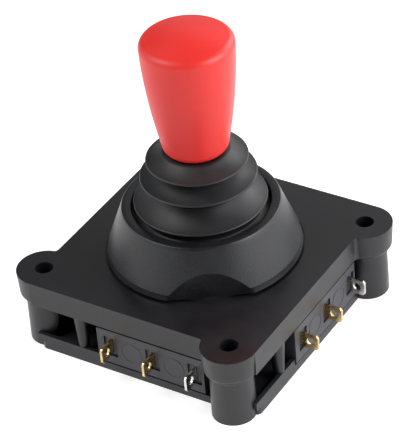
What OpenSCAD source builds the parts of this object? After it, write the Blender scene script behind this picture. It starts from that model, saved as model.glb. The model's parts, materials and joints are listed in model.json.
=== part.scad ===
// Industrial microswitch joystick: a square moulded base with four pinwheel
// ears, four miniature snap-action switches, a gimballed lever and a boot.

/* [Base] */
// Side of the square base
plate_side = 59; // [57:0.5:64]
// Height of the wall band above the switches
band_h = 6; // [5.6:0.1:8]
// Thickness of the top plate
plate_t = 2.6; // [2:0.1:3.2]
// Thickness of the wall band
wall_t = 2.2; // [1.6:0.1:2.6]
// Thickness of the bottom cover
cover_t = 2; // [1.8:0.1:3.4]
// Height of the cover's sill at the foot of a window
sill_h = 1.9; // [0.5:0.1:3]
// Thickness of the cover's sill
sill_t = 1; // [0.8:0.1:1.4]
// How far the bottom cover lies inside the base's faces
cover_inset = 0.6; // [0.3:0.1:1]

/* [Mounting ears] */
// Radius of an ear at the top plate
ear_r = 6.4; // [6:0.1:7]
// How far an ear's centre lies inside the face it stands out of
ear_inset = 0.85; // [0.4:0.05:1.6]
// Straight depth of an ear below the top plate
ear_depth = 5.4; // [4:0.1:6]
// Draft of an ear over its straight depth
ear_draft = 0.3; // [0:0.05:0.6]
// Height of the curved shoulder under an ear
shoulder_h = 2; // [1:0.1:3]
// Radius of the boss under an ear, at its foot
boss_r = 5.05; // [4.6:0.05:5.3]
// Draft of the boss, narrower at its top
boss_draft = 0.2; // [0:0.05:0.4]
// Radius of the mounting hole
hole_r = 2.1; // [1.8:0.05:2.4]
// Radius of the inside corner between ear and face
ear_fillet = 1.6; // [0.6:0.1:2.5]
// Distance from the boss's centre to its flat beside the window
boss_flat = 4.2; // [3:0.1:4.8]

/* [Neck and clamp nut] */
// Outer radius of the threaded neck
neck_r = 15.5; // [15:0.1:16]
// Wall of the neck
neck_wall = 3.3; // [2.6:0.1:3.6]
// Height of the neck above the top plate
neck_h = 9.3; // [9:0.1:10]
// Radial width of the nut's flat top
nut_rim = 2.05; // [1.6:0.05:3]
// Radial width of the nut's sloping side
nut_flare = 4.45; // [3.5:0.05:6]
// Height of the nut's top above the top plate
nut_top = 12.5; // [12.3:0.1:13.5]
// Height of the nut's straight skirt
nut_skirt = 1.5; // [0.8:0.1:2.5]
// Depth of the wrench flats, cut into the skirt
flat_cut = 2.25; // [1:0.05:2.6]
// Turn of the wrench flats
flat_turn = -56; // [-90:1:90]
// Thickness of the panel gasket
gasket_t = 0.7; // [0.5:0.1:1.5]
// How far the gasket lies inside the wrench flats
gasket_inset = 0.15; // [0.1:0.05:1]
// Depth of the round seat sunk in the top plate under the nut
seat_drop = 0.3; // [0.2:0.05:0.6]

/* [Switches] */
// Length of a switch along its face
switch_l = 27.8; // [26.8:0.1:28.4]
// Depth of a switch from its terminals to its plunger face
switch_d = 15.9; // [15.4:0.1:16.2]
// Thickness of a switch
switch_t = 10.3; // [10:0.1:10.6]
// Thickness of a switch's cover, out of its thickness
switch_cover_t = 2.9; // [2:0.1:3]
// How far the terminal face lies inside the base's face
switch_inset = 0.6; // [0.3:0.1:1]
// Distance of the switch's middle from its plunger
switch_offset = 2.4; // [2:0.1:2.8]
// Clearance round a switch
switch_gap = 0.1; // [0.05:0.01:0.2]
// Distance of a mounting hole from the switch's end
switch_hole_in = 2.8; // [2.6:0.1:3.2]
// Radius of the switch's mounting holes
switch_hole_r = 1.55; // [1.4:0.05:1.6]
// Clearance of a locating pin in a mounting hole
pin_gap = 0.1; // [0.05:0.01:0.2]

/* [Terminals] */
// Distance between terminals
lug_pitch = 10.95; // [10.4:0.05:11]
// Distance of the middle terminal from the switch's middle
lug_shift = 0.55; // [0:0.05:1]
// Width of a terminal blade
lug_w = 3.9; // [3:0.1:4.8]
// Thickness of a terminal blade
lug_t = 0.6; // [0.4:0.05:0.8]
// Reach of a terminal in front of the switch
lug_l = 4.3; // [3.8:0.1:6]
// Radius of the wire hole
lug_hole_r = 0.95; // [0.6:0.05:1.2]
// Depth of a terminal's root in the case
lug_root = 0.5; // [0.4:0.05:0.6]
// Width of the recess round a terminal
recess_w = 3.4; // [2:0.1:4]
// Height of the recess above and below a terminal
recess_h = 0.9; // [0.5:0.1:1.2]
// Depth of the recess round a terminal
recess_d = 0.5; // [0.3:0.05:0.6]

/* [Lever] */
// Height of the gimbal axes above the switches' middle plane
pivot_h = 7.25; // [6.8:0.05:7.4]
// Tilt of the lever to each side
tilt = 9; // [4:0.5:9]
// Radius of the lever shaft
shaft_r = 3; // [2.6:0.05:3.2]
// Radius of the shaft's threaded end in the knob
shaft_end_r = 2.5; // [2:0.05:2.55]
// Distance of the plunger tip in front of its switch, at rest
tip_out = 1.5; // [1.3:0.05:1.8]
// Radius of a plunger
plunger_r = 1.6; // [1.2:0.05:1.8]
// Length of a plunger
plunger_l = 5.5; // [5:0.1:6]
// Gap between a plunger tip and the actuator puck
tip_gap = 0.05; // [0.02:0.01:0.1]
// Height of the actuator puck
puck_h = 4.4; // [4:0.1:4.6]
// Running clearance of pins and plungers
run_gap = 0.05; // [0.02:0.01:0.08]

/* [Gimbal] */
// Outer radius of the gimbal ring
ring_r = 7.4; // [7:0.1:7.6]
// Inner radius of the gimbal ring
ring_in_r = 4.5; // [4.2:0.1:4.8]
// Height of the gimbal ring
ring_h = 3.4; // [3.2:0.1:3.6]
// Radius of the gimbal pins
pin_r = 1.2; // [1:0.05:1.25]
// Radial gap between the gimbal ring and the plate's hole
ring_gap = 0.8; // [0.6:0.05:1]

/* [Spring] */
// Radius of the spring wire
wire_r = 0.6; // [0.4:0.05:0.7]
// Number of spring turns
turns = 4.5; // [3:0.5:5]
// Height of the spring
spring_h = 7.8; // [7.6:0.1:8.2]
// Thickness of the spring retainer
retainer_t = 1.2; // [1:0.1:1.6]
// Radius of the spring retainer
retainer_r = 8.2; // [7.8:0.1:8.6]

/* [Boot] */
// Thickness of the boot's rubber
rubber_t = 1; // [0.8:0.1:1.2]
// Radius of the lowest boot disc
disc3_r = 15.1; // [14.6:0.1:15.3]
// Radius of the middle boot disc
disc2_r = 13.2; // [12.8:0.1:13.6]
// Radius of the top boot disc
disc1_r = 11.5; // [11:0.1:12]
// Height of the lowest disc's lip above the top plate
disc3_z = 13.6; // [13.4:0.1:14]
// Height of the middle disc's lip above the top plate
disc2_z = 20.1; // [19.6:0.1:20.4]
// Height of the top disc's lip above the top plate
disc1_z = 24.5; // [24.2:0.1:25]

/* [Knob] */
// Height of the knob's foot above the top plate
knob_z = 26.9; // [26.8:0.1:29]
// Height of the knob's top edge above the top plate
knob_top = 55.4; // [50:0.1:60]
// Radius of the knob at its foot
knob_foot_r = 7.55; // [7.4:0.05:9]
// Radius of the knob at its top
knob_r = 10.55; // [9.6:0.05:14]
// Swell of the knob's side halfway up
knob_swell = 0.56; // [0:0.02:1]
// Rounding of the knob's foot
knob_foot_round = 2; // [1:0.1:3]
// Rounding of the knob's top edge
knob_round = 1.9; // [1:0.1:3]
// Rise of the knob's domed top
knob_dome = 1.2; // [0.4:0.1:2]

/* [Hidden] */
$fn = 96;
eps = 0.01;

// The four sides, as turns from the front
FRONT = 0;
RIGHT = 1;
BACK = 2;
LEFT = 3;

// Base
half = plate_side / 2;
floor_z = cover_t + switch_gap;
band_z = floor_z + switch_t + switch_gap;
top_z = band_z + band_h;
under_z = top_z - plate_t;
ear_along = half - ear_r;
ear_out = half - ear_inset;
neck_in_r = neck_r - neck_wall;
neck_z = top_z + neck_h;
seat_z = top_z - seat_drop;
flange_out = 1.3;
flange_grip = 1;
flange_r = neck_r + flange_out;
lip_in_r = flange_r - flange_grip;
nut_top_r = lip_in_r + nut_rim;
nut_r = nut_top_r + nut_flare;
flat_d = nut_r - flat_cut;
seat_room = 0.4;
seat_r = nut_r + seat_room;
under_ear_r = ear_r - ear_draft;

// Switches
mid_z = floor_z + switch_t / 2;
face_y = half - switch_inset;
inner_y = face_y - switch_d;
pin1 = [switch_offset - switch_l / 2 + switch_hole_in, -inner_y - switch_hole_in];
pin2 = [switch_offset + switch_l / 2 - switch_hole_in, -face_y + switch_hole_in];
locating_r = switch_hole_r - pin_gap;
pin_pad = 1.2;

// Lever and its travel
pivot_z = mid_z + pivot_h;
travel = pivot_h * tilt * PI / 180;
tip_y = inner_y - tip_out;
puck_r = tip_y - tip_gap;
puck_low = mid_z - puck_h / 2;
puck_top = mid_z + puck_h / 2;
plunger_room = 0.4;
plate_hole_r = ring_r + ring_gap;
seat_gap = 0.05;
press_gap = 0.01;

// Slant of a boss's flat near its foot
flat_lean = 0.9;
flat_lean_h = 4.5;

// Cut corners of the bottom cover
boss_gap = 0.1;
corner_cut = 2.2;
corner_round = 1.5;

// Finish of the terminals
BRASS = "#c8a24a";
TINNED = "#c9c9c6";

// Gimbal lugs under the plate
lug_room = 0.1;
lug_in = plate_hole_r + lug_room;
lug_len = 3.2;
lug_half_w = 2.6;
lug_eye_r = 2.5;

// Screws of the bottom cover
screw_at = 20.6;
screw_boss_r = 2.7;
screw_r = 1.1;
screw_head_r = 2.1;
screw_head_h = 1.3;
screw_l = 8;
screw_gap = 0.15;

// Posts in the side windows
post_u = -17;
post_r = 2;
post_foot_r = 1.15;
post_in = 3;
web_t = 0.9;

// Spring chamber
spring_z = top_z + seat_gap;
retainer_z = spring_z + spring_h + seat_gap;
clip_t = 0.6;
clip_groove = 0.5;
clip_out = 1.8;
shaft_room = 1.2;
shaft_low = cover_t + shaft_room;

// Boot
flange_t = 1.3;
flange_z = neck_z + seat_gap;
neck_in = 1.7;
boot_neck_r = disc3_r - neck_in;
lip_t = 0.6;
valley_share = 0.58;
fold3_depth = 3.7;
fold2_depth = 3.2;
valley3 = [disc2_r - fold3_depth, top_z + disc3_z + valley_share * (disc2_z - disc3_z)];
valley2 = [disc1_r - fold2_depth, top_z + disc2_z + valley_share * (disc1_z - disc2_z)];
collar_r = 6.2;
collar_gap = 0.3;
collar_h = 2.4;
boot_top_gap = 0.1;
boot_top = top_z + knob_z - boot_top_gap;

// Knob
knob_low = top_z + knob_z;
knob_high = top_z + knob_top;
insert_r = 4;
insert_l = 14;
thread_gap = 0.05;
end_room = 1;
shaft_high = knob_low + insert_l - end_room;
stop_step = 1;

// A figure at each of the four sides or ears
module four() {
    for (turn = [0 : 3])
        rotate([0, 0, 90 * turn])
            children();
}

// A straight round bar or bore along X
module bar_x(r, l) {
    rotate([0, 90, 0])
        cylinder(r = r, h = l, center = true);
}

// A straight round bar or bore along Y
module bar_y(r, l) {
    rotate([90, 0, 0])
        cylinder(r = r, h = l, center = true);
}

// Points of an arc about a centre, from one angle to another
function arc(centre, r, from, to, steps) =
    [for (i = [0 : steps])
        let (a = from + (to - from) * i / steps)
        [centre[0] + r * cos(a), centre[1] + r * sin(a)]];

// The base's square, its corners cut back to the ears, with the inside corners filled
module base_outline() {
    fillet_x = ear_along - sqrt(pow(under_ear_r + ear_fillet, 2) - pow(ear_inset + ear_fillet, 2));
    difference() {
        square(plate_side, center = true);
        for (turn = [0 : 3])
            rotate(90 * turn)
                translate([ear_along, -half - 1])
                    square([ear_r + 1, ear_inset + 1]);
    }
    for (turn = [0 : 3])
        rotate(90 * turn)
            difference() {
                polygon([[fillet_x, -half + eps], [ear_along, -half + eps],
                         [ear_along, -ear_out], [fillet_x, -half - ear_fillet]]);
                translate([fillet_x, -half - ear_fillet])
                    circle(ear_fillet);
            }
}

// The turned form of an ear, its curved shoulder and its boss
module ear_and_boss() {
    neck_boss_r = boss_r - boss_draft;
    shoulder_z = top_z - ear_depth;
    shoulder_steps = 8;
    difference() {
        rotate_extrude()
            polygon(concat(
                [[0, 0], [boss_r, 0]],
                [for (i = [0 : shoulder_steps])
                    let (t = i / shoulder_steps)
                    [neck_boss_r + (under_ear_r - neck_boss_r) * (1 - cos(180 * t)) / 2,
                     shoulder_z - shoulder_h + shoulder_h * t]],
                [[ear_r, top_z], [0, top_z]]));
        // flat beside the window, slanting in towards the foot
        translate([-boss_r - 1, boss_flat, 0])
            rotate([90, 0, 90])
                linear_extrude(2 * boss_r + 2)
                    polygon([[-flat_lean, cover_t], [0, cover_t + flat_lean_h],
                             [0, band_z], [boss_r, band_z], [boss_r, cover_t]]);
    }
}

// A tapered post in a side window, down to the cover
module window_post() {
    translate([post_u, -half + post_in, cover_t])
        cylinder(r1 = post_foot_r, r2 = post_r, h = under_z - cover_t);
}

// A lug under the plate that carries one end of the gimbal's axis
module gimbal_lug() {
    translate([lug_in, 0, pivot_z])
        rotate([90, 0, 90])
            linear_extrude(lug_len) {
                circle(lug_eye_r);
                translate([-lug_half_w, 0])
                    square([2 * lug_half_w, under_z - pivot_z + eps]);
            }
}

module housing() {
    color("#26262a")
        difference() {
            union() {
                // top plate
                translate([0, 0, under_z])
                    linear_extrude(plate_t)
                        base_outline();
                // wall band
                translate([0, 0, band_z])
                    linear_extrude(band_h)
                        difference() {
                            base_outline();
                            square(plate_side - 2 * wall_t, center = true);
                        }
                // ears and bosses
                four()
                    translate([ear_along, -ear_out, 0])
                        ear_and_boss();
                // neck
                translate([0, 0, under_z])
                    cylinder(r = neck_r, h = neck_h + plate_t);
                // pads that press on the switches, with their locating pins
                four() {
                    for (p = [pin1, pin2]) {
                        translate([p[0], p[1], band_z])
                            cylinder(r = switch_hole_r + pin_pad, h = band_h - eps);
                        translate([p[0], p[1], floor_z])
                            cylinder(r = locating_r, h = band_h + switch_t);
                    }
                    window_post();
                    // screw boss
                    translate([screw_at, -screw_at, cover_t])
                        cylinder(r = screw_boss_r, h = under_z - cover_t + eps);
                    // rib from the screw boss to the corner boss
                    translate([screw_at - web_t / 2, -ear_out, band_z - 3])
                        cube([web_t, ear_out - screw_at, under_z - band_z + 3 + eps]);
                }
                gimbal_lug();
                mirror([1, 0, 0])
                    gimbal_lug();
            }
            // mounting holes
            four()
                translate([ear_along, -ear_out, -1])
                    cylinder(r = hole_r, h = top_z + 2);
            // seat of the gasket and nut
            translate([0, 0, seat_z])
                difference() {
                    cylinder(r = seat_r, h = seat_drop + 1);
                    cylinder(r = neck_r, h = seat_drop + 1);
                }
            // spring chamber and plate hole
            translate([0, 0, top_z])
                cylinder(r = neck_in_r, h = neck_h + 1);
            translate([0, 0, under_z - 1])
                cylinder(r = plate_hole_r, h = plate_t + 2);
            // gimbal bores
            translate([0, 0, pivot_z])
                bar_x(pin_r + run_gap, 2 * (lug_in + lug_len) + 1);
            // screw holes
            four()
                translate([screw_at, -screw_at, cover_t - 1])
                    cylinder(r = screw_r, h = screw_l + 1);
        }
}

// The bottom cover's square, its corners cut away under the bosses
module cover_outline() {
    edge = half - cover_inset;
    difference() {
        square(2 * edge, center = true);
        for (turn = [0 : 3])
            rotate(90 * turn)
                translate([ear_along, -half])
                    square([ear_r + 1, half - ear_out + corner_cut]);
    }
    for (turn = [0 : 3])
        rotate(90 * turn)
            translate([edge - corner_round, -ear_out + corner_cut])
                circle(corner_round);
}

// A low wall on the cover's edge that closes the foot of a window
module window_sill() {
    right = switch_offset - switch_l / 2 - switch_gap;
    left = -ear_out + boss_gap;
    translate([left, -half + cover_inset, cover_t - eps])
        cube([right - left, sill_t, sill_h + eps]);
}

module bottom_cover() {
    color("#2c2c30")
        difference() {
            union() {
                linear_extrude(cover_t)
                    cover_outline();
                four()
                    window_sill();
            }
            four() {
                translate([ear_along, -ear_out, -1])
                    cylinder(r = boss_r + boss_gap, h = cover_t + sill_h + 2);
                translate([screw_at, -screw_at, -1])
                    cylinder(r = screw_r + screw_gap, h = cover_t + 2);
                translate([screw_at, -screw_at, -1])
                    cylinder(r = screw_head_r + screw_gap, h = screw_head_h + 1);
            }
        }
}

module cover_screws() {
    color("#8a8c90")
        four()
            translate([screw_at, -screw_at, 0]) {
                difference() {
                    cylinder(r = screw_head_r, h = screw_head_h);
                    for (slot_turn = [0, 90])
                        rotate([0, 0, slot_turn])
                            translate([-1.3, -0.25, -1])
                                cube([2.6, 0.5, 1.6]);
                }
                translate([0, 0, screw_head_h - eps])
                    cylinder(r = screw_r - press_gap, h = screw_l - screw_head_h);
            }
}

module panel_gasket() {
    color("#151516")
        translate([0, 0, seat_z])
            difference() {
                cylinder(r = flat_d - gasket_inset, h = gasket_t);
                translate([0, 0, -1])
                    cylinder(r = neck_r + seat_gap, h = gasket_t + 2);
            }
}

module clamp_nut() {
    low = seat_z + gasket_t;
    high = top_z + nut_top;
    cavity_z = flange_z - seat_gap;
    cavity_top = flange_z + flange_t + seat_gap;
    color("#3a3b3e")
        difference() {
            rotate_extrude($fn = 180)
                polygon([[neck_r + seat_gap, low], [nut_r - 0.4, low], [nut_r, low + 0.4],
                         [nut_r, low + nut_skirt - 0.3], [nut_r - 0.25, low + nut_skirt],
                         [nut_top_r + 0.25, high - 0.35], [nut_top_r, high],
                         [lip_in_r, high], [lip_in_r, cavity_top],
                         [flange_r + seat_gap, cavity_top], [flange_r + seat_gap, cavity_z],
                         [neck_r + seat_gap, cavity_z]]);
            for (side = [0, 180])
                rotate([0, 0, flat_turn + side])
                    translate([flat_d, -nut_r, low - 1])
                        cube([nut_r, 2 * nut_r, nut_top + 2]);
        }
}

// The rounded edge of a boot disc, from below to above
function lip(r, z) = arc([r - lip_t / 2, z], lip_t / 2, -90, 90, 4);

// The dished top of a disc, from its lip up to a valley
function dish(r, z, valley) =
    [for (i = [1 : 4])
        let (t = i / 4, rise = valley[1] - z - lip_t / 2)
        [r - lip_t / 2 + (valley[0] - r + lip_t / 2) * t,
         z + lip_t / 2 + rise * (0.6 * t + 0.4 * t * t)]];

// Outer line of the boot, from its flange to its top
boot_outer = concat(
    [[flange_r, flange_z], [flange_r, flange_z + flange_t], [boot_neck_r, flange_z + flange_t],
     [boot_neck_r, top_z + disc3_z - 1.6]],
    lip(disc3_r, top_z + disc3_z),
    dish(disc3_r, top_z + disc3_z, valley3),
    lip(disc2_r, top_z + disc2_z),
    dish(disc2_r, top_z + disc2_z, valley2),
    lip(disc1_r, top_z + disc1_z),
    dish(disc1_r, top_z + disc1_z, [collar_r + collar_gap + rubber_t, boot_top]));

// Inner line of the boot, from its top back to its flange
boot_inner = [
    [collar_r + collar_gap, boot_top],
    [collar_r + collar_gap, boot_top - 1.5],
    [disc1_r - 2.4, top_z + disc1_z - 0.1],
    valley2 + [-rubber_t, 0.3],
    valley2 + [-rubber_t, -0.3],
    [disc2_r - 2.6, top_z + disc2_z - 0.1],
    valley3 + [-rubber_t, 0.3],
    valley3 + [-rubber_t, -0.3],
    [disc3_r - 2.8, top_z + disc3_z],
    [boot_neck_r - rubber_t, top_z + disc3_z - 1.6],
    [boot_neck_r - rubber_t, flange_z]];

module boot() {
    color("#1a1a1c")
        rotate_extrude()
            polygon(concat(boot_outer, boot_inner));
}

// A closed tube swept along a rising, narrowing coil
module coil(low_r, high_r, wire, height, count) {
    sides = 6;
    steps = round(count * 20);
    function centre(i) =
        let (t = i / steps, r = low_r + (high_r - low_r) * t, a = 360 * count * t)
        [r * cos(a), r * sin(a), wire + (height - 2 * wire) * t];
    function rim(i) =
        let (a = 360 * count * i / steps, c = centre(i))
        [for (k = [0 : sides - 1])
            let (b = 360 * k / sides)
            c + wire * [cos(b) * cos(a), cos(b) * sin(a), sin(b)]];
    points = [for (i = [0 : steps]) each rim(i)];
    sides_faces = [for (i = [0 : steps - 1], k = [0 : sides - 1])
        let (n = (k + 1) % sides)
        each [[i * sides + k, (i + 1) * sides + n, i * sides + n],
              [i * sides + k, (i + 1) * sides + k, (i + 1) * sides + n]]];
    low_end = [for (k = [1 : sides - 2]) [0, k, k + 1]];
    high_end = [for (k = [1 : sides - 2])
        [steps * sides, steps * sides + k + 1, steps * sides + k]];
    polyhedron(points, concat(sides_faces, low_end, high_end));
}

module centring_spring() {
    color("#b9bcc0")
        translate([0, 0, spring_z])
            coil(neck_in_r - wire_r - 0.8, retainer_r - wire_r - 0.6, wire_r, spring_h, turns);
}

// The three terminal places along a switch face
lug_middle = switch_offset + lug_shift;
lug_places = [lug_middle - lug_pitch, lug_middle, lug_middle + lug_pitch];

// A switch's block between two heights, with its mounting holes
module switch_block(low, high) {
    difference() {
        translate([switch_offset - switch_l / 2, -face_y, low])
            cube([switch_l, switch_d, high - low]);
        for (p = [pin1, pin2])
            translate([p[0], p[1], low - 1])
                cylinder(r = switch_hole_r, h = high - low + 2);
        // recesses and root slots of the terminals
        for (u = lug_places) {
            translate([u - recess_w / 2, -face_y - 1, mid_z - lug_w / 2 - recess_h])
                cube([recess_w, recess_d + 1, lug_w + 2 * recess_h]);
            translate([u - lug_t / 2 - seat_gap, -face_y - 1, mid_z - lug_w / 2 - seat_gap])
                cube([lug_t + 2 * seat_gap, recess_d + lug_root + 1, lug_w + 2 * seat_gap]);
        }
    }
}

seam_z = floor_z + switch_t - switch_cover_t;

module switch_case(side) {
    color("#3b3b3f")
        rotate([0, 0, 90 * side])
            difference() {
                switch_block(floor_z, seam_z);
                // plunger bore
                translate([0, -inner_y + 1, mid_z])
                    rotate([90, 0, 0])
                        cylinder(r = plunger_r + run_gap,
                                 h = plunger_l - tip_out + travel + plunger_room + 1);
            }
}

module switch_cover(side) {
    color("#38383c")
        rotate([0, 0, 90 * side])
            switch_block(seam_z, floor_z + switch_t);
}

module plunger(side) {
    dome = 0.5;
    color("#8d1f1c")
        rotate([0, 0, 90 * side])
            translate([0, -tip_y, mid_z])
                rotate([90, 0, 0])
                    rotate_extrude()
                        polygon([[0, 0], [plunger_r - dome, 0], [plunger_r, dome],
                                 [plunger_r, plunger_l], [0, plunger_l]]);
}

module lug(side, place, tint) {
    corner = 0.5;
    back = -face_y + recess_d + lug_root - seat_gap;
    front = -face_y - lug_l;
    color(tint)
        rotate([0, 0, 90 * side])
            difference() {
                translate([lug_places[place] - lug_t / 2, 0, mid_z])
                    rotate([90, 0, 90])
                        linear_extrude(lug_t)
                            polygon([[back, -lug_w / 2], [front + corner, -lug_w / 2],
                                     [front, -lug_w / 2 + corner], [front, lug_w / 2 - corner],
                                     [front + corner, lug_w / 2], [back, lug_w / 2]]);
                translate([lug_places[place], front + lug_w / 2, mid_z])
                    bar_x(lug_hole_r, 2 * lug_t);
            }
}

module gimbal_ring() {
    color("#d8d8d2")
        translate([0, 0, pivot_z])
            difference() {
                cylinder(r = ring_r, h = ring_h, center = true);
                cylinder(r = ring_in_r, h = ring_h + 2, center = true);
                bar_x(pin_r + press_gap, 2 * ring_r + 2);
                bar_y(pin_r + run_gap, 2 * ring_r + 2);
            }
}

module trunnion_pins() {
    in_end = ring_in_r + 0.2;
    pin_l = lug_in + lug_len - in_end;
    color("#c4c6ca")
        for (side = [-1, 1])
            translate([side * (in_end + pin_l / 2), 0, pivot_z])
                bar_x(pin_r, pin_l);
}

module lever_shaft() {
    groove_r = shaft_r - clip_groove;
    low_clip = puck_low - clip_t - seat_gap;
    high_clip = retainer_z + retainer_t + seat_gap;
    color("#c9ccd0")
        difference() {
            rotate_extrude()
                polygon([[0, shaft_low], [shaft_r - 0.4, shaft_low], [shaft_r, shaft_low + 0.4],
                         [shaft_r, low_clip], [groove_r, low_clip],
                         [groove_r, low_clip + clip_t + seat_gap], [shaft_r, low_clip + clip_t + seat_gap],
                         [shaft_r, high_clip], [groove_r, high_clip],
                         [groove_r, high_clip + clip_t + seat_gap],
                         [shaft_r, high_clip + clip_t + seat_gap],
                         [shaft_r, knob_low - stop_step], [shaft_end_r, knob_low - stop_step],
                         [shaft_end_r, shaft_high], [0, shaft_high]]);
            translate([0, 0, pivot_z])
                bar_y(pin_r + press_gap, 2 * shaft_r + 2);
        }
}

module cross_pin() {
    color("#c4c6ca")
        translate([0, 0, pivot_z])
            bar_y(pin_r, 2 * ring_r - 0.4);
}

module actuator_puck() {
    hub_r = shaft_r + 2.4;
    web = 1.6;
    rim_t = 1.5;
    color("#e8e6df")
        difference() {
            translate([0, 0, mid_z])
                rotate_extrude()
                    difference() {
                        intersection() {
                            circle(puck_r);
                            translate([0, -puck_h / 2])
                                square([puck_r + 1, puck_h]);
                        }
                        // dished upper side between hub and rim
                        translate([hub_r, -puck_h / 2 + web])
                            square([puck_r - rim_t - hub_r, puck_h]);
                    }
            translate([0, 0, puck_low - 1])
                cylinder(r = shaft_r + press_gap, h = puck_h + 2);
        }
}

// A retaining clip: a flat ring with a mouth
module clip(z) {
    groove_r = shaft_r - clip_groove;
    translate([0, 0, z])
        linear_extrude(clip_t)
            difference() {
                circle(groove_r + clip_out);
                circle(groove_r + press_gap);
                translate([0, -0.9 * groove_r])
                    square([groove_r + clip_out + 1, 1.8 * groove_r]);
            }
}

module puck_clip() {
    color("#9a9da2")
        clip(puck_low - clip_t - seat_gap / 2);
}

module spring_retainer() {
    color("#b4b7bc")
        translate([0, 0, retainer_z])
            difference() {
                cylinder(r = retainer_r, h = retainer_t);
                translate([0, 0, -1])
                    cylinder(r = shaft_r + press_gap, h = retainer_t + 2);
            }
}

module retainer_clip() {
    color("#9a9da2")
        clip(retainer_z + retainer_t + 1.5 * seat_gap);
}

module boot_collar() {
    color("#222224")
        translate([0, 0, knob_low - collar_h])
            difference() {
                cylinder(r = collar_r, h = collar_h);
                translate([0, 0, -1])
                    cylinder(r = shaft_r + press_gap, h = collar_h + 2);
            }
}

module knob() {
    low = knob_low;
    side_r = knob_r - knob_round;
    side_low = low + knob_foot_round;
    side_steps = 12;
    dome_r = (side_r * side_r + knob_dome * knob_dome) / (2 * knob_dome);
    color("#e2403c")
        difference() {
            rotate_extrude($fn = 128)
                polygon(concat(
                    [[0, low], [knob_foot_r - knob_foot_round, low]],
                    arc([knob_foot_r - knob_foot_round, low + knob_foot_round],
                        knob_foot_round, -75, -5, 7),
                    [for (i = [1 : side_steps])
                        let (t = i / side_steps)
                        [knob_foot_r + (knob_r - knob_foot_r) * t + 4 * knob_swell * t * (1 - t),
                         side_low + (knob_high - knob_round - side_low) * t]],
                    arc([side_r, knob_high - knob_round], knob_round, 9, 84, 8),
                    [for (i = [1 : 8])
                        let (x = side_r * (1 - i / 8))
                        [x, knob_high + knob_dome - dome_r + sqrt(dome_r * dome_r - x * x)]]));
            translate([0, 0, low - 1])
                cylinder(r = insert_r + press_gap, h = insert_l + 1);
        }
}

module knob_insert() {
    color("#c9a227")
        translate([0, 0, knob_low])
            difference() {
                cylinder(r = insert_r, h = insert_l);
                translate([0, 0, -1])
                    cylinder(r = shaft_end_r + thread_gap, h = insert_l);
            }
}

housing();
bottom_cover();
cover_screws();
panel_gasket();
clamp_nut();
boot();
centring_spring();
switch_case(FRONT);  // front_switch_case
switch_case(RIGHT);  // right_switch_case
switch_case(BACK);  // back_switch_case
switch_case(LEFT);  // left_switch_case
switch_cover(FRONT);  // front_switch_cover
switch_cover(RIGHT);  // right_switch_cover
switch_cover(BACK);  // back_switch_cover
switch_cover(LEFT);  // left_switch_cover
lug(FRONT, 0, BRASS);  // front_common_lug
lug(RIGHT, 0, BRASS);  // right_common_lug
lug(BACK, 0, BRASS);  // back_common_lug
lug(LEFT, 0, BRASS);  // left_common_lug
lug(FRONT, 1, BRASS);  // front_closed_lug
lug(RIGHT, 1, BRASS);  // right_closed_lug
lug(BACK, 1, BRASS);  // back_closed_lug
lug(LEFT, 1, BRASS);  // left_closed_lug
lug(FRONT, 2, TINNED);  // front_open_lug
lug(RIGHT, 2, TINNED);  // right_open_lug
lug(BACK, 2, TINNED);  // back_open_lug
lug(LEFT, 2, TINNED);  // left_open_lug
plunger(FRONT);  // front_plunger
plunger(RIGHT);  // right_plunger
plunger(BACK);  // back_plunger
plunger(LEFT);  // left_plunger
gimbal_ring();
trunnion_pins();
lever_shaft();
cross_pin();
actuator_puck();
puck_clip();
spring_retainer();
retainer_clip();
boot_collar();
knob();
knob_insert();
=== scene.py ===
import json
import math

import bmesh
import bpy
from mathutils import Matrix, Vector


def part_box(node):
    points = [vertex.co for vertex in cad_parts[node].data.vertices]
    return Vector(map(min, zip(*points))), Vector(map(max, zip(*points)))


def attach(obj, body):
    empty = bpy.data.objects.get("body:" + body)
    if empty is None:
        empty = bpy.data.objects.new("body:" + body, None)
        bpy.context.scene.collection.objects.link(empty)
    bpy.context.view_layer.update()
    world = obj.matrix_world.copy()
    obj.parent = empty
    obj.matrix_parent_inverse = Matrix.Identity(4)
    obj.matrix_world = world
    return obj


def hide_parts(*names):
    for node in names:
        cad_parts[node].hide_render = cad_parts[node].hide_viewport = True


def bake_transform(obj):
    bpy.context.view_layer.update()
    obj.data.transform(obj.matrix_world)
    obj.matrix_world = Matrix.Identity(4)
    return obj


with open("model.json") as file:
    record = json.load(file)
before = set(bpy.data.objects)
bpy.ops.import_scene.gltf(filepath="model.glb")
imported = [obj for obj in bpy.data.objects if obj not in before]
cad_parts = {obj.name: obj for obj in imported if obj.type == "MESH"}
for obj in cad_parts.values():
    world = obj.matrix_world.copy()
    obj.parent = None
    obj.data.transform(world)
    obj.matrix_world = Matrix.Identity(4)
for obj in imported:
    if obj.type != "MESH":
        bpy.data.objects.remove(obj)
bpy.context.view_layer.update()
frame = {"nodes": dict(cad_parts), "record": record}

# Sizes are in millimetres, and those times MM are in metres
MM = 0.001
# The sides of the base, each with the degrees that turn the front one to it
SIDES = {"front": 0, "right": 90, "back": 180, "left": 270}


def box_mm(node_name):
    """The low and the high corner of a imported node's box, in millimetres."""
    low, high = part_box(node_name)
    return [value / MM for value in low], [value / MM for value in high]


def to_side(side):
    """The turn that brings the front side to this one."""
    return Matrix.Rotation(math.radians(SIDES[side]), 4, "Z")


# Boxes that the dressed pieces share, and the top of the plate
NUT_LOW, NUT_HIGH = box_mm("clamp_nut")
BOOT_LOW, BOOT_HIGH = box_mm("boot")
KNOB_LOW, KNOB_HIGH = box_mm("knob")
PLATE_TOP = next(m["pos_m"][2] for m in frame["record"]["mounts"] if m["name"] == "panel_face") / MM


# Camera: a long lens above the front right corner

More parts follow.
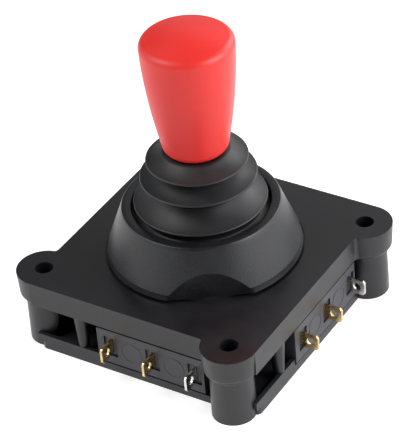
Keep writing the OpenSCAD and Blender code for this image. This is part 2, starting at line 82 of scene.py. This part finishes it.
HALF_SIDE = 29.5 * MM
AZIMUTH, ELEVATION, ROLL = 0.5946, 0.6321, -0.0921
DISTANCE = 18.52 * HALF_SIDE
AIM = Vector((-0.1522 * HALF_SIDE, 0.2513 * HALF_SIDE, PLATE_TOP * MM))
SENSOR_HEIGHT = 24
LENS = 128.6


def aim_camera():
    """The camera at its distance from the aim, rolled slightly about its line of sight."""
    back = Vector((math.sin(AZIMUTH) * math.cos(ELEVATION),
                   -math.cos(AZIMUTH) * math.cos(ELEVATION), math.sin(ELEVATION)))
    right = Vector((math.cos(AZIMUTH), math.sin(AZIMUTH), 0))
    up = back.cross(right)
    rolled_right = math.cos(ROLL) * right + math.sin(ROLL) * up
    rolled_up = math.cos(ROLL) * up - math.sin(ROLL) * right
    data = bpy.data.cameras.new("camera")
    data.sensor_fit = "VERTICAL"
    data.sensor_height = SENSOR_HEIGHT
    data.lens = LENS
    data.clip_start = 0.01
    camera = bpy.data.objects.new("camera", data)
    bpy.context.scene.collection.objects.link(camera)
    turn = Matrix((rolled_right, rolled_up, back)).transposed().to_4x4()
    camera.matrix_world = Matrix.Translation(AIM + back * DISTANCE) @ turn
    bpy.context.scene.camera = camera


aim_camera()


# Materials

def tone(code):
    """An sRGB hex colour as linear RGBA."""
    values = [int(code[i:i + 2], 16) / 255 for i in (1, 3, 5)]
    return [v / 12.92 if v <= 0.04045 else ((v + 0.055) / 1.055) ** 2.4 for v in values] + [1.0]


WHITE = tone("#ffffff")


def add(tree, kind, settings=None, **links):
    """A node with its settings, by attribute or input, and links into inputs by name or _number."""
    node = tree.nodes.new(kind)
    for name, value in (settings or {}).items():
        if isinstance(name, int) or name in node.inputs:
            node.inputs[name].default_value = value
        else:
            setattr(node, name, value)
    for name, source in links.items():
        socket = node.inputs[int(name[1:]) if name[0] == "_" else name.replace("_", " ")]
        tree.links.new(source, socket)
    return node


def new_material(name):
    """An empty material with its output, and Object coordinates in metres."""
    material = bpy.data.materials.new(name)
    material.use_nodes = True
    tree = material.node_tree
    tree.nodes.clear()
    output = add(tree, "ShaderNodeOutputMaterial")
    place = add(tree, "ShaderNodeTexCoord").outputs["Object"]
    return material, tree, output, place


def noise(tree, place, size_mm, detail=2.0, rough=0.5):
    """Noise whose features are about size_mm across."""
    settings = {"Scale": 1 / (size_mm * MM), "Detail": detail, "Roughness": rough}
    return add(tree, "ShaderNodeTexNoise", settings, Vector=place).outputs["Fac"]


def ramp(tree, source, low, high, out_low, out_high):
    """A number spread from one span to another."""
    spans = {"From Min": low, "From Max": high, "To Min": out_low, "To Max": out_high}
    return add(tree, "ShaderNodeMapRange", spans, Value=source).outputs["Result"]


def mottled(tree, patch, dark, light):
    """A colour that a patchy noise spreads between two hex tones."""
    settings = {"data_type": "RGBA", 6: tone(dark), 7: tone(light)}
    return add(tree, "ShaderNodeMix", settings, _0=ramp(tree, patch, 0.35, 0.65, 0, 1)).outputs[2]


def bumped(tree, height, depth_mm):
    """A bump whose full range of height is depth_mm deep."""
    settings = {"Strength": 1.0, "Distance": depth_mm * MM}
    return add(tree, "ShaderNodeBump", settings, Height=height).outputs["Normal"]


def moulding(name, dark, light, rough, grain_mm, depth_mm, patch_mm=9.0):
    """A moulded plastic: patchy colour and gloss over a fine spark-eroded grain."""
    material, tree, output, place = new_material(name)
    spread = 0.06
    patch = noise(tree, place, patch_mm, 3.0)
    grain = noise(tree, place, grain_mm, 2.0, 0.6)
    shader = add(tree, "ShaderNodeBsdfPrincipled", {"IOR": 1.5},
                 Base_Color=mottled(tree, patch, dark, light),
                 Roughness=ramp(tree, patch, 0.3, 0.7, rough - spread, rough + spread),
                 Normal=bumped(tree, grain, depth_mm))
    tree.links.new(shader.outputs["BSDF"], output.inputs["Surface"])
    return material


def bare_metal(name, dark, light, rough, grain_mm, depth_mm):
    """A stamped or drawn metal: fine scratches over a soft mottle."""
    material, tree, output, place = new_material(name)
    mottle_mm = 2.5
    long_way = add(tree, "ShaderNodeMapping", {"Scale": (1, 1, 9)}, Vector=place).outputs["Vector"]
    scratch = noise(tree, long_way, grain_mm, 3.0, 0.7)
    shader = add(tree, "ShaderNodeBsdfPrincipled", {"Metallic": 1.0},
                 Base_Color=mottled(tree, noise(tree, place, mottle_mm), dark, light),
                 Roughness=ramp(tree, scratch, 0.3, 0.7, rough - 0.06, rough + 0.08),
                 Normal=bumped(tree, scratch, depth_mm))
    tree.links.new(shader.outputs["BSDF"], output.inputs["Surface"])
    return material


# Glass-filled nylon 6 of the base: near black, a faint mottle and a satin skin
base_nylon = moulding("base_nylon", "#141416", "#1a1a1d", rough=0.38, grain_mm=0.35, depth_mm=0.008)
# The same nylon from the bottom cover's own mould: a little greyer and duller
cover_nylon = moulding("cover_nylon", "#1b1b1e", "#232327", rough=0.42, grain_mm=0.35, depth_mm=0.008)
# Glass-filled nylon of the nut: a coarser spark-eroded skin that breaks up its shine
nut_nylon = moulding("nut_nylon", "#121214", "#19191c", rough=0.38, grain_mm=0.45, depth_mm=0.04)
# Phenolic of the switch cases: duller and greyer than nylon
switch_phenolic = moulding("switch_phenolic", "#2f2f34", "#393940", rough=0.44, grain_mm=0.4,
                           depth_mm=0.008)
# Nitrile rubber of the boot: a soft sheen with hardly any grain
boot_rubber = moulding("boot_rubber", "#0f0f11", "#151517", rough=0.5, grain_mm=1.2, depth_mm=0.004,
                       patch_mm=6.0)
# Closed-cell rubber of the gasket: matt
gasket_rubber = moulding("gasket_rubber", "#0b0b0c", "#111112", rough=0.8, grain_mm=0.5, depth_mm=0.01)
# Smooth-moulded red plastic of the knob: soft gloss, a faint flow mottle
knob_red = moulding("knob_red", "#d9251f", "#df2d27", rough=0.42, grain_mm=5.0, depth_mm=0.004,
                    patch_mm=14.0)
# Natural white acetal: milky and smooth
acetal_white = moulding("acetal_white", "#d5d3cb", "#e2e0d9", rough=0.4, grain_mm=0.6, depth_mm=0.004)
# Red brown acetal of the plungers: smooth
acetal_red = moulding("acetal_red", "#7d1d1a", "#8c2421", rough=0.4, grain_mm=0.6, depth_mm=0.004)
# Black acetal of the boot's collar: smooth
acetal_black = moulding("acetal_black", "#151516", "#1c1c1d", rough=0.4, grain_mm=0.6, depth_mm=0.004)
# Stamped brass lugs: slightly warm and worn
lug_brass = bare_metal("lug_brass", "#cfae78", "#e6cfa0", rough=0.24, grain_mm=0.5, depth_mm=0.004)
# Silver-plated lug: pale and bright
lug_silver = bare_metal("lug_silver", "#c9c7c0", "#e3e2dd", rough=0.22, grain_mm=0.5, depth_mm=0.004)
# Turned and ground steel: an even grey with a fine lay
ground_steel = bare_metal("ground_steel", "#a9abae", "#c2c4c7", rough=0.28, grain_mm=0.4, depth_mm=0.003)
# Zinc-plated screws, clips and retainer: darker and cloudier
zinc_steel = bare_metal("zinc_steel", "#85878b", "#a3a5a8", rough=0.35, grain_mm=0.5, depth_mm=0.004)
# Turned brass of the knob's insert: a deep yellow
turned_brass = bare_metal("turned_brass", "#b8912f", "#d0aa4a", rough=0.3, grain_mm=0.4, depth_mm=0.003)

LUGS = {"common": lug_brass, "closed": lug_brass, "open": lug_silver}
FINISH = {"housing": base_nylon, "bottom_cover": cover_nylon, "cover_screws": zinc_steel,
          "panel_gasket": gasket_rubber, "clamp_nut": nut_nylon, "boot": boot_rubber,
          "centring_spring": ground_steel, "gimbal_ring": acetal_white, "trunnion_pins": ground_steel,
          "lever_shaft": ground_steel, "cross_pin": ground_steel, "actuator_puck": acetal_white,
          "puck_clip": zinc_steel, "spring_retainer": zinc_steel, "retainer_clip": zinc_steel,
          "boot_collar": acetal_black, "knob": knob_red, "knob_insert": turned_brass}
for side in SIDES:
    FINISH.update({f"{side}_switch_case": switch_phenolic, f"{side}_switch_cover": switch_phenolic,
                   f"{side}_plunger": acetal_red})
    FINISH.update({f"{side}_{lug}_lug": metal for lug, metal in LUGS.items()})


def dress(piece, material):
    """Gives a piece one material in all its slots."""
    piece.data.materials.clear()
    piece.data.materials.append(material)


for node_name, node in frame["nodes"].items():
    dress(node, FINISH[node_name])


# Pieces

MERGE_WITHIN = 0.002 * MM
FLAT_WITHIN = math.radians(0.6)
EDGE_FROM = math.radians(32)


def place_mesh(name, mesh, material):
    """A new piece with its mesh in the object's own frame."""
    piece = bpy.data.objects.new(name, mesh)
    bpy.context.scene.collection.objects.link(piece)
    dress(piece, material)
    return piece


def finished(piece):
    """Turns a piece's modifiers into its mesh."""
    graph = bpy.context.evaluated_depsgraph_get()
    mesh = bpy.data.meshes.new_from_object(piece.evaluated_get(graph))
    piece.modifiers.clear()
    piece.data = mesh
    return piece


def softened(node_name, width_mm, foot_seam=0, head_seam=0, shift=(0, 0, 0), reshape=None):
    """A CAD node's skin with rounded edges, moved by a shift, its foot and head drawn in by a seam."""
    form = bmesh.new()
    form.from_mesh(frame["nodes"][node_name].data)
    bmesh.ops.remove_doubles(form, verts=form.verts, dist=MERGE_WITHIN)
    bmesh.ops.dissolve_limit(form, angle_limit=FLAT_WITHIN, verts=form.verts, edges=form.edges)
    foot, head = (corner[2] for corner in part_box(node_name))
    for vert in form.verts:
        share = (vert.co.z - foot) / (head - foot)
        vert.co.z += ((1 - share) * foot_seam - share * head_seam) * MM
        vert.co += Vector(shift) * MM
    if reshape:
        reshape(form)
    mesh = bpy.data.meshes.new(node_name + "_skin")
    form.to_mesh(mesh)
    form.free()
    piece = place_mesh(node_name + "_skin", mesh, FINISH[node_name])
    piece.data.shade_smooth()
    bevel = piece.modifiers.new("edges", "BEVEL")
    bevel.width = width_mm * MM
    bevel.segments = 2
    bevel.limit_method = "ANGLE"
    bevel.angle_limit = EDGE_FROM
    bevel.use_clamp_overlap = True
    even = piece.modifiers.new("even", "WEIGHTED_NORMAL")
    even.mode = "FACE_AREA"
    even.weight = 100
    finished(piece)
    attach(piece, "base")
    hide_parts(node_name)


def turned(name, line_at, material, steps, sharp_from):
    """A closed shell whose section at each turn is line_at's (radius, height) points, in millimetres."""
    vertices, faces = [], []
    count = len(line_at(0))
    for i in range(steps):
        turn = 2 * math.pi * i / steps
        line = line_at(turn)
        vertices += [(r * MM * math.cos(turn), r * MM * math.sin(turn), z * MM) for r, z in line]
        here, there = i * count, (i + 1) % steps * count
        for k in range(count):
            n = (k + 1) % count
            if line[k][0] > 0 or line[n][0] > 0:
                faces.append((here + k, there + k, there + n, here + n))
    mesh = bpy.data.meshes.new(name)
    mesh.from_pydata(vertices, [], faces)
    form = bmesh.new()
    form.from_mesh(mesh)
    bmesh.ops.remove_doubles(form, verts=form.verts, dist=0.001 * MM)
    bmesh.ops.recalc_face_normals(form, faces=form.faces)
    form.to_mesh(mesh)
    form.free()
    mesh.shade_smooth()
    mesh.set_sharp_from_angle(angle=math.radians(sharp_from))
    return place_mesh(name, mesh, material)


def bend(start, pull, end, steps):
    """Points of a curve from start to end, drawn towards pull."""
    points = []
    for i in range(steps + 1):
        t = i / steps
        points.append(tuple((1 - t) ** 2 * a + 2 * t * (1 - t) * b + t * t * c
                            for a, b, c in zip(start, pull, end)))
    return points


def round_of(middle, radius, start, end, steps):
    """Points of an arc about a middle, from one angle in degrees to another."""
    angles = [math.radians(start + (end - start) * i / steps) for i in range(steps + 1)]
    return [(middle[0] + radius * math.cos(a), middle[1] + radius * math.sin(a)) for a in angles]


# Housing, cover, switches and lugs: CAD copies with rounded edges

# The front side's window post: its place, how far round it and up its points are taken, and its move
POST_AT = Vector((-17, -26.5))
POST_REACH = 2.1
POST_TOP = 15.95
POST_SHIFT = Vector((0.5, -1.1, 0))
# The switches stand this far prouder than their solids, with a dark seam between case and cover
FACE_OUT = 0.35
CASE_SEAM, COVER_SEAM = 0.6, 0.58


def bring_posts_out(form):
    """Moves the window post on each side of the housing nearer to its opening."""
    for side in SIDES:
        turn = to_side(side)
        for vert in form.verts:
            place = turn.transposed() @ vert.co / MM
            if (place.xy - POST_AT).length < POST_REACH and place.z < POST_TOP:
                vert.co += turn @ POST_SHIFT * MM


softened("housing", 0.25, reshape=bring_posts_out)
softened("bottom_cover", 0.15)
for side in SIDES:
    outward = to_side(side) @ Vector((0, -FACE_OUT, 0))
    softened(f"{side}_switch_case", 0.06, foot_seam=CASE_SEAM, shift=outward)
    softened(f"{side}_switch_cover", 0.06, head_seam=COVER_SEAM, shift=outward)
    for lug in LUGS:
        softened(f"{side}_{lug}_lug", 0.08)


# Clamp nut: a cone on a short skirt, cut by two wrench flats, with a groove for the boot's flange

# The flats: the way one of them faces, their depth, and the cosine of the turn that clears them
FLAT_TURN = math.radians(-56)
FLAT_CUT = 2.25
FLAT_CLEAR = math.cos(math.radians(60))
# The skirt's height, the chamfer at its foot, and the cone's step in from it
SKIRT_TALL, SKIRT_EDGE, SKIRT_STEP = 1.5, 0.15, 0.3
CONE_ROWS = 14
# The neck and the lip lie this far inside the boot's flange, and the rim's rounding this far outside it
NECK_IN, LIP_IN, RIM_OUT = 1.25, 1.0, 0.9
RIM_ROUND, RIM_STEP, LIP_ROUND = 0.35, 0.4, 0.2
GROOVE_FIT, GROOVE_TALL = 0.05, 1.4


def nut_line(turn):
    """The nut's section at one angle, whose outer side stops at a flat where one lies in the way."""
    low, high = NUT_LOW[2], NUT_HIGH[2]
    skirt_r, flange_r = NUT_HIGH[1], BOOT_HIGH[0]
    neck_r, lip_r, rim_r = flange_r - NECK_IN, flange_r - LIP_IN, flange_r + RIM_OUT
    groove_r, groove_low = flange_r + GROOVE_FIT, BOOT_LOW[2] - GROOVE_FIT
    groove_high = groove_low + GROOVE_TALL
    foot_r, foot_z, rim_z = skirt_r - SKIRT_STEP, low + SKIRT_TALL, high - RIM_ROUND
    slope = (rim_z - foot_z) / (foot_r - rim_r - RIM_STEP)
    limit = (skirt_r - FLAT_CUT) / max(abs(math.cos(turn - FLAT_TURN)), FLAT_CLEAR)
    line = [(neck_r, low), (min(skirt_r, limit) - SKIRT_EDGE, low), (min(skirt_r, limit), low + SKIRT_EDGE),
            (min(foot_r, limit), foot_z - 0.01)]
    start = foot_z + max(0, foot_r - limit) * slope
    for row in range(CONE_ROWS + 1):
        z = start + (rim_z - start) * row / CONE_ROWS
        line.append((foot_r - (z - foot_z) / slope, z))
    line += round_of((rim_r, rim_z), RIM_ROUND, 20, 90, 4)
    line += round_of((lip_r + LIP_ROUND, high - LIP_ROUND), LIP_ROUND, 90, 180, 3)
    line += [(lip_r, groove_high), (groove_r, groove_high), (groove_r, groove_low), (neck_r, groove_low)]
    return line


def shape_nut():
    """The nut's skin, turned from its section."""
    piece = turned("clamp_nut_skin", nut_line, nut_nylon, steps=360, sharp_from=16)
    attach(piece, "base")
    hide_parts("clamp_nut")


shape_nut()


# Knob: a swelling taper with a soft foot, a soft rim and a low dome, hollow for its insert

KNOB_FOOT_R, KNOB_TOP_R, KNOB_BORE_R = 7.55, 10.55, 4.01
FOOT_SOFT, RIM_SOFT = 2.0, 1.9
DOME, SWELL = 1.2, 0.56
SIDE_STEPS, DOME_STEPS = 40, 16
# The degrees at which the side leans where it meets its roundings, and at which the rim meets the dome
LEAN, CROWN = 6, 82


def turn_knob():
    """The knob, between its packed foot and top and inside its packed radius."""
    low, high = KNOB_LOW[2], KNOB_HIGH[2]
    bore_top = box_mm("knob_insert")[1][2]
    side_low, side_high = low + FOOT_SOFT, high - DOME - RIM_SOFT
    flat_r = KNOB_TOP_R - RIM_SOFT
    dome_r = (flat_r ** 2 + DOME ** 2) / (2 * DOME)
    line = [(0, bore_top), (KNOB_BORE_R, bore_top), (KNOB_BORE_R, low)]
    line += round_of((KNOB_FOOT_R - FOOT_SOFT, side_low), FOOT_SOFT, -90, -LEAN, 14)
    for i in range(1, SIDE_STEPS):
        t = i / SIDE_STEPS
        line.append((KNOB_FOOT_R + (KNOB_TOP_R - KNOB_FOOT_R) * t + 4 * SWELL * t * (1 - t),
                     side_low + (side_high - side_low) * t))
    line += round_of((flat_r, side_high), RIM_SOFT, LEAN, CROWN, 16)
    for i in range(1, DOME_STEPS + 1):
        r = flat_r * (1 - i / DOME_STEPS)
        line.append((r, high - dome_r + math.sqrt(dome_r ** 2 - r ** 2)))
    line = [(min(r, KNOB_HIGH[0]), z) for r, z in line]
    piece = turned("knob_skin", lambda turn: line, knob_red, steps=192, sharp_from=60)
    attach(piece, "lever")
    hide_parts("knob")


turn_knob()


# Boot: thin dished folds that narrow upwards, in two halves

LIPS = [(radius, PLATE_TOP + up) for radius, up in ((15.1, 13.6), (13.2, 20.1), (11.5, 24.5))]
VALLEYS = [(radius, PLATE_TOP + up) for radius, up in ((9.5, 17.4), (8.3, 22.65))]
# Where the inner line turns under each lip: this far inside it and below it
HOLLOWS = [(r - inward, z - down) for (r, z), inward, down in zip(LIPS, (2.8, 2.6, 2.4), (0, 0.1, 0.1))]
LIP_HALF = 0.3
DISH = 0.3
WALL = 1.0
FILLET = 0.3
FLANGE_THICK = 1.3
NECK_R, NECK_TOP = LIPS[0][0] - 1.7, LIPS[0][1] - 1.5
NECK_INNER_TOP = NECK_TOP - 0.1
COLLAR_R = box_mm("boot_collar")[1][0] + 0.3
COLLAR_GRIP = 1.5


def lip_and_dish(lip, valley):
    """The outer line round a lip and over its dished top into the valley inside it."""
    radius, height = lip
    edge = (radius - LIP_HALF, height + LIP_HALF)
    pull = ((edge[0] + valley[0]) / 2, edge[1] + DISH * (valley[1] - edge[1]))
    return round_of((radius - LIP_HALF, height), LIP_HALF, -90, 90, 6) + bend(edge, pull, valley, 12)[1:]


def boot_half(name, line):
    """One half of the boot."""
    piece = turned(name, lambda turn: line, boot_rubber, steps=144, sharp_from=50)
    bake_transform(piece)
    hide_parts("boot")


def turn_boot():
    """The lower half, from the clamped flange to the first valley, and the upper half above it."""
    flange_r, flange_z, top = BOOT_HIGH[0], BOOT_LOW[2], BOOT_HIGH[2]
    flange_top = flange_z + FLANGE_THICK
    (low_r, seam), (high_r, high_z) = VALLEYS
    inner_low, inner_high = low_r - WALL, high_r - WALL
    lower = [(flange_r, flange_z), (flange_r, flange_top), (NECK_R + FILLET, flange_top),
             (NECK_R, flange_top + FILLET), (NECK_R, NECK_TOP)]
    lower += lip_and_dish(LIPS[0], VALLEYS[0])
    lower += [(inner_low, seam), (inner_low, seam - FILLET), HOLLOWS[0],
              (NECK_R - WALL, NECK_INNER_TOP), (NECK_R - WALL, flange_z)]
    upper = VALLEYS[:1] + lip_and_dish(LIPS[1], VALLEYS[1]) + lip_and_dish(LIPS[2], (COLLAR_R + WALL, top))
    upper += [(COLLAR_R, top), (COLLAR_R, top - COLLAR_GRIP), HOLLOWS[2],
              (inner_high, high_z + FILLET), (inner_high, high_z - FILLET), HOLLOWS[1],
              (inner_low, seam + FILLET), (inner_low, seam)]
    boot_half("boot_low_folds", lower)
    boot_half("boot_high_folds", upper)


turn_boot()


# Coil and face marks: small geometry groups with their sizes as inputs

def new_group(name, **sizes):
    """A geometry group with a named input for each size, its input sockets and its output node."""
    group = bpy.data.node_groups.new(name, "GeometryNodeTree")
    for label, (kind, value) in sizes.items():
        socket = group.interface.new_socket(name=label.replace("_", " "), in_out="INPUT",
                                            socket_type="NodeSocket" + kind)
        socket.default_value = value
    group.interface.new_socket(name="Material", in_out="INPUT", socket_type="NodeSocketMaterial")
    group.interface.new_socket(name="Geometry", in_out="OUTPUT", socket_type="NodeSocketGeometry")
    return group, add(group, "NodeGroupInput").outputs, add(group, "NodeGroupOutput")


def close_group(group, given, out, shape):
    """Ends a group with its shape smooth, real and dressed."""
    smooth = add(group, "GeometryNodeSetShadeSmooth", Geometry=shape)
    whole = add(group, "GeometryNodeRealizeInstances", Geometry=smooth.outputs[0])
    dressed = add(group, "GeometryNodeSetMaterial", Geometry=whole.outputs[0], Material=given["Material"])
    group.links.new(dressed.outputs[0], out.inputs[0])
    return group


def coil_group():
    """A round wire wound between two radii over a height."""
    group, given, out = new_group("wire_coil", Turns=("Float", 2.0), Foot_Radius=("Float", 0.01),
                                  Head_Radius=("Float", 0.01), Height=("Float", 0.01),
                                  Wire_Radius=("Float", 0.001))
    spiral = add(group, "GeometryNodeCurveSpiral", {"Resolution": 48}, Rotations=given["Turns"],
                 Start_Radius=given["Foot Radius"], End_Radius=given["Head Radius"], Height=given["Height"])
    section = add(group, "GeometryNodeCurvePrimitiveCircle", {"Resolution": 14}, Radius=given["Wire Radius"])
    wire = add(group, "GeometryNodeCurveToMesh", {"Fill Caps": True}, Curve=spiral.outputs[0],
               Profile_Curve=section.outputs[0])
    return close_group(group, given, out, wire.outputs[0])


def ring_group():
    """A row of low beads, each a ring that lies on a face."""
    group, given, out = new_group("face_rings", Count=("Int", 2), Pitch=("Vector", (0.01, 0, 0)),
                                  Ring_Radius=("Float", 0.002), Bead_Radius=("Float", 0.0001))
    row = add(group, "GeometryNodeMeshLine", Count=given["Count"], Offset=given["Pitch"])
    ring = add(group, "GeometryNodeCurvePrimitiveCircle", {"Resolution": 48}, Radius=given["Ring Radius"])
    section = add(group, "GeometryNodeCurvePrimitiveCircle", {"Resolution": 8}, Radius=given["Bead Radius"])
    bead = add(group, "GeometryNodeCurveToMesh", Curve=ring.outputs[0], Profile_Curve=section.outputs[0])
    copies = add(group, "GeometryNodeInstanceOnPoints", Points=row.outputs[0], Instance=bead.outputs[0])
    return close_group(group, given, out, copies.outputs[0])


def grown(name, group, material, **values):
    """A piece made by a geometry group with these inputs, its mesh final."""
    piece = place_mesh(name, bpy.data.meshes.new(name), material)
    growth = piece.modifiers.new("growth", "NODES")
    growth.node_group = group
    values["Material"] = material
    for socket in group.interface.items_tree:
        if socket.in_out == "INPUT":
            growth[socket.identifier] = values[socket.name.replace(" ", "_")]
    return finished(piece)


SPRING_WIRE_R = 0.6 * MM
SPRING_TURNS = 4.5
RETAINER_EDGE = 1.2 * MM


def wind_spring():
    """The centring spring in two halves that meet end to end."""
    coil = coil_group()
    low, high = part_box("centring_spring")
    foot_r = high[0] - SPRING_WIRE_R
    head_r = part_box("spring_retainer")[1][0] - RETAINER_EDGE
    middle_r = (foot_r + head_r) / 2
    rise = (high[2] - low[2] - 2 * SPRING_WIRE_R) / 2
    for half, radii, bodies in ((0, (foot_r, middle_r), ("base", "gimbal")),
                                (1, (middle_r, head_r), ("gimbal", "lever"))):
        piece = grown(f"spring_coil_{half}", coil, ground_steel, Turns=SPRING_TURNS / 2,
                      Foot_Radius=radii[0], Head_Radius=radii[1], Height=rise, Wire_Radius=SPRING_WIRE_R)
        foot = low[2] + SPRING_WIRE_R + half * rise
        turn = Matrix.Rotation(math.pi * SPRING_TURNS * half, 4, "Z")
        piece.data.transform(Matrix.Translation((0, 0, foot)) @ turn)
        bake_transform(piece)
        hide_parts("centring_spring")


RING_R = 2.6 * MM
BEAD_R = 0.1 * MM
BEAD_SUNK = 0.02 * MM


def middle_of(node_name):
    """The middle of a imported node's box, in metres."""
    low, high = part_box(node_name)
    return [(a + b) / 2 for a, b in zip(low, high)]


def mark_faces():
    """Moulded rings between the terminals on each switch face."""
    rings = ring_group()
    common, closed = middle_of("front_common_lug"), middle_of("front_closed_lug")
    pitch = closed[0] - common[0]
    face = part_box("front_switch_case")[0][1] - FACE_OUT * MM
    place = Matrix.Translation((common[0] + pitch / 2, face + BEAD_SUNK, common[2]))
    stand = Matrix.Rotation(math.radians(90), 4, "X")
    for side in SIDES:
        piece = grown(f"{side}_face_rings", rings, switch_phenolic, Count=2, Pitch=(pitch, 0, 0),
                      Ring_Radius=RING_R, Bead_Radius=BEAD_R)
        piece.data.transform(to_side(side) @ place @ stand)
        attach(piece, "base")


wind_spring()
mark_faces()


# Floor, light and background

FLOOR_REACH = 3.0
FLOOR_GLOW = 0.55
# The level way to the studio's right side, and how bright its parts are
RIGHT_WAY = (0.829, 0.56, 0)
FRONT_LEVEL, SIDE_LEVEL = 0.17, 1.3
CEILING_SHARE, RIGHT_GAIN = 0.3, 2.2


def lay_floor():
    """A white floor that lights as white paper and shows the object's soft shadow."""
    mesh = bpy.data.meshes.new("floor")
    corners = [(x * FLOOR_REACH, y * FLOOR_REACH, 0) for x, y in ((-1, -1), (1, -1), (1, 1), (-1, 1))]
    mesh.from_pydata(corners, [], [(0, 1, 2, 3)])
    material, tree, output, place = new_material("floor_white")
    ray = add(tree, "ShaderNodeLightPath").outputs
    seen = add(tree, "ShaderNodeMath", {"operation": "MAXIMUM"}, _0=ray["Is Camera Ray"],
               _1=ray["Is Glossy Ray"])
    seen = add(tree, "ShaderNodeMath", {"operation": "MAXIMUM"}, _0=seen.outputs[0],
               _1=ray["Is Transmission Ray"])
    strength = add(tree, "ShaderNodeMath", {"operation": "MULTIPLY", 1: FLOOR_GLOW}, _0=seen.outputs[0])
    glow = add(tree, "ShaderNodeEmission", {"Color": WHITE}, Strength=strength.outputs[0])
    paper = add(tree, "ShaderNodeBsdfDiffuse", {"Color": tone("#e7e7e7")})
    both = add(tree, "ShaderNodeAddShader", _0=glow.outputs[0], _1=paper.outputs[0])
    tree.links.new(both.outputs[0], output.inputs["Surface"])
    place_mesh("floor", mesh, material)


def light_world():
    """A white background, and a studio with bright sides and a dim front and ceiling in what shines."""
    world = bpy.data.worlds.new("studio")
    bpy.context.scene.world = world
    world.use_nodes = True
    tree = world.node_tree
    tree.nodes.clear()
    output = add(tree, "ShaderNodeOutputWorld")
    ray = add(tree, "ShaderNodeLightPath").outputs
    way = add(tree, "ShaderNodeTexCoord").outputs["Generated"]
    side = add(tree, "ShaderNodeVectorMath", {"operation": "DOT_PRODUCT", 1: RIGHT_WAY}, _0=way)
    wide = add(tree, "ShaderNodeMath", {"operation": "ABSOLUTE"}, _0=side.outputs["Value"])
    height = add(tree, "ShaderNodeSeparateXYZ", Vector=way).outputs["Z"]
    flank = ramp(tree, wide.outputs[0], 0.45, 0.95, FRONT_LEVEL, SIDE_LEVEL)
    ceiling = ramp(tree, height, 0.25, 0.6, 1.0, CEILING_SHARE)
    right_side = ramp(tree, side.outputs["Value"], 0.0, 0.8, 1.0, RIGHT_GAIN)
    level = add(tree, "ShaderNodeMath", {"operation": "MULTIPLY"}, _0=flank, _1=ceiling)
    level = add(tree, "ShaderNodeMath", {"operation": "MULTIPLY"}, _0=level.outputs[0], _1=right_side)
    seen = add(tree, "ShaderNodeBackground", {"Color": WHITE, "Strength": 1.0})
    soft = add(tree, "ShaderNodeBackground", {"Color": tone("#f8faff")}, Strength=level.outputs[0])
    mix = add(tree, "ShaderNodeMixShader", _0=ray["Is Camera Ray"], _1=soft.outputs[0], _2=seen.outputs[0])
    tree.links.new(mix.outputs[0], output.inputs["Surface"])


def hang_lamp(name, place, aim, size, watts):
    """A soft square lamp that faces a point."""
    data = bpy.data.lights.new(name, "AREA")
    data.shape = "SQUARE"
    data.size = size
    data.energy = watts
    lamp = bpy.data.objects.new(name, data)
    bpy.context.scene.collection.objects.link(lamp)
    way = Vector(aim) - Vector(place)
    lamp.matrix_world = Matrix.Translation(place) @ way.to_track_quat("-Z", "Y").to_matrix().to_4x4()


lay_floor()
light_world()
hang_lamp("key", (-0.5, -0.45, 0.8), (0, 0, 0.03), size=0.6, watts=6.2)
hang_lamp("fill", (0.7, 0.1, 0.45), (0, 0, 0.03), size=0.5, watts=5.4)
hang_lamp("sheen", (0.12, 0.5, 0.32), (0.02, 0.02, 0.02), size=0.3, watts=1.4)
hang_lamp("rim", (-0.25, 0.5, 0.36), (-0.02, 0.02, 0.02), size=0.3, watts=0.18)

bpy.context.scene.view_settings.view_transform = "Standard"
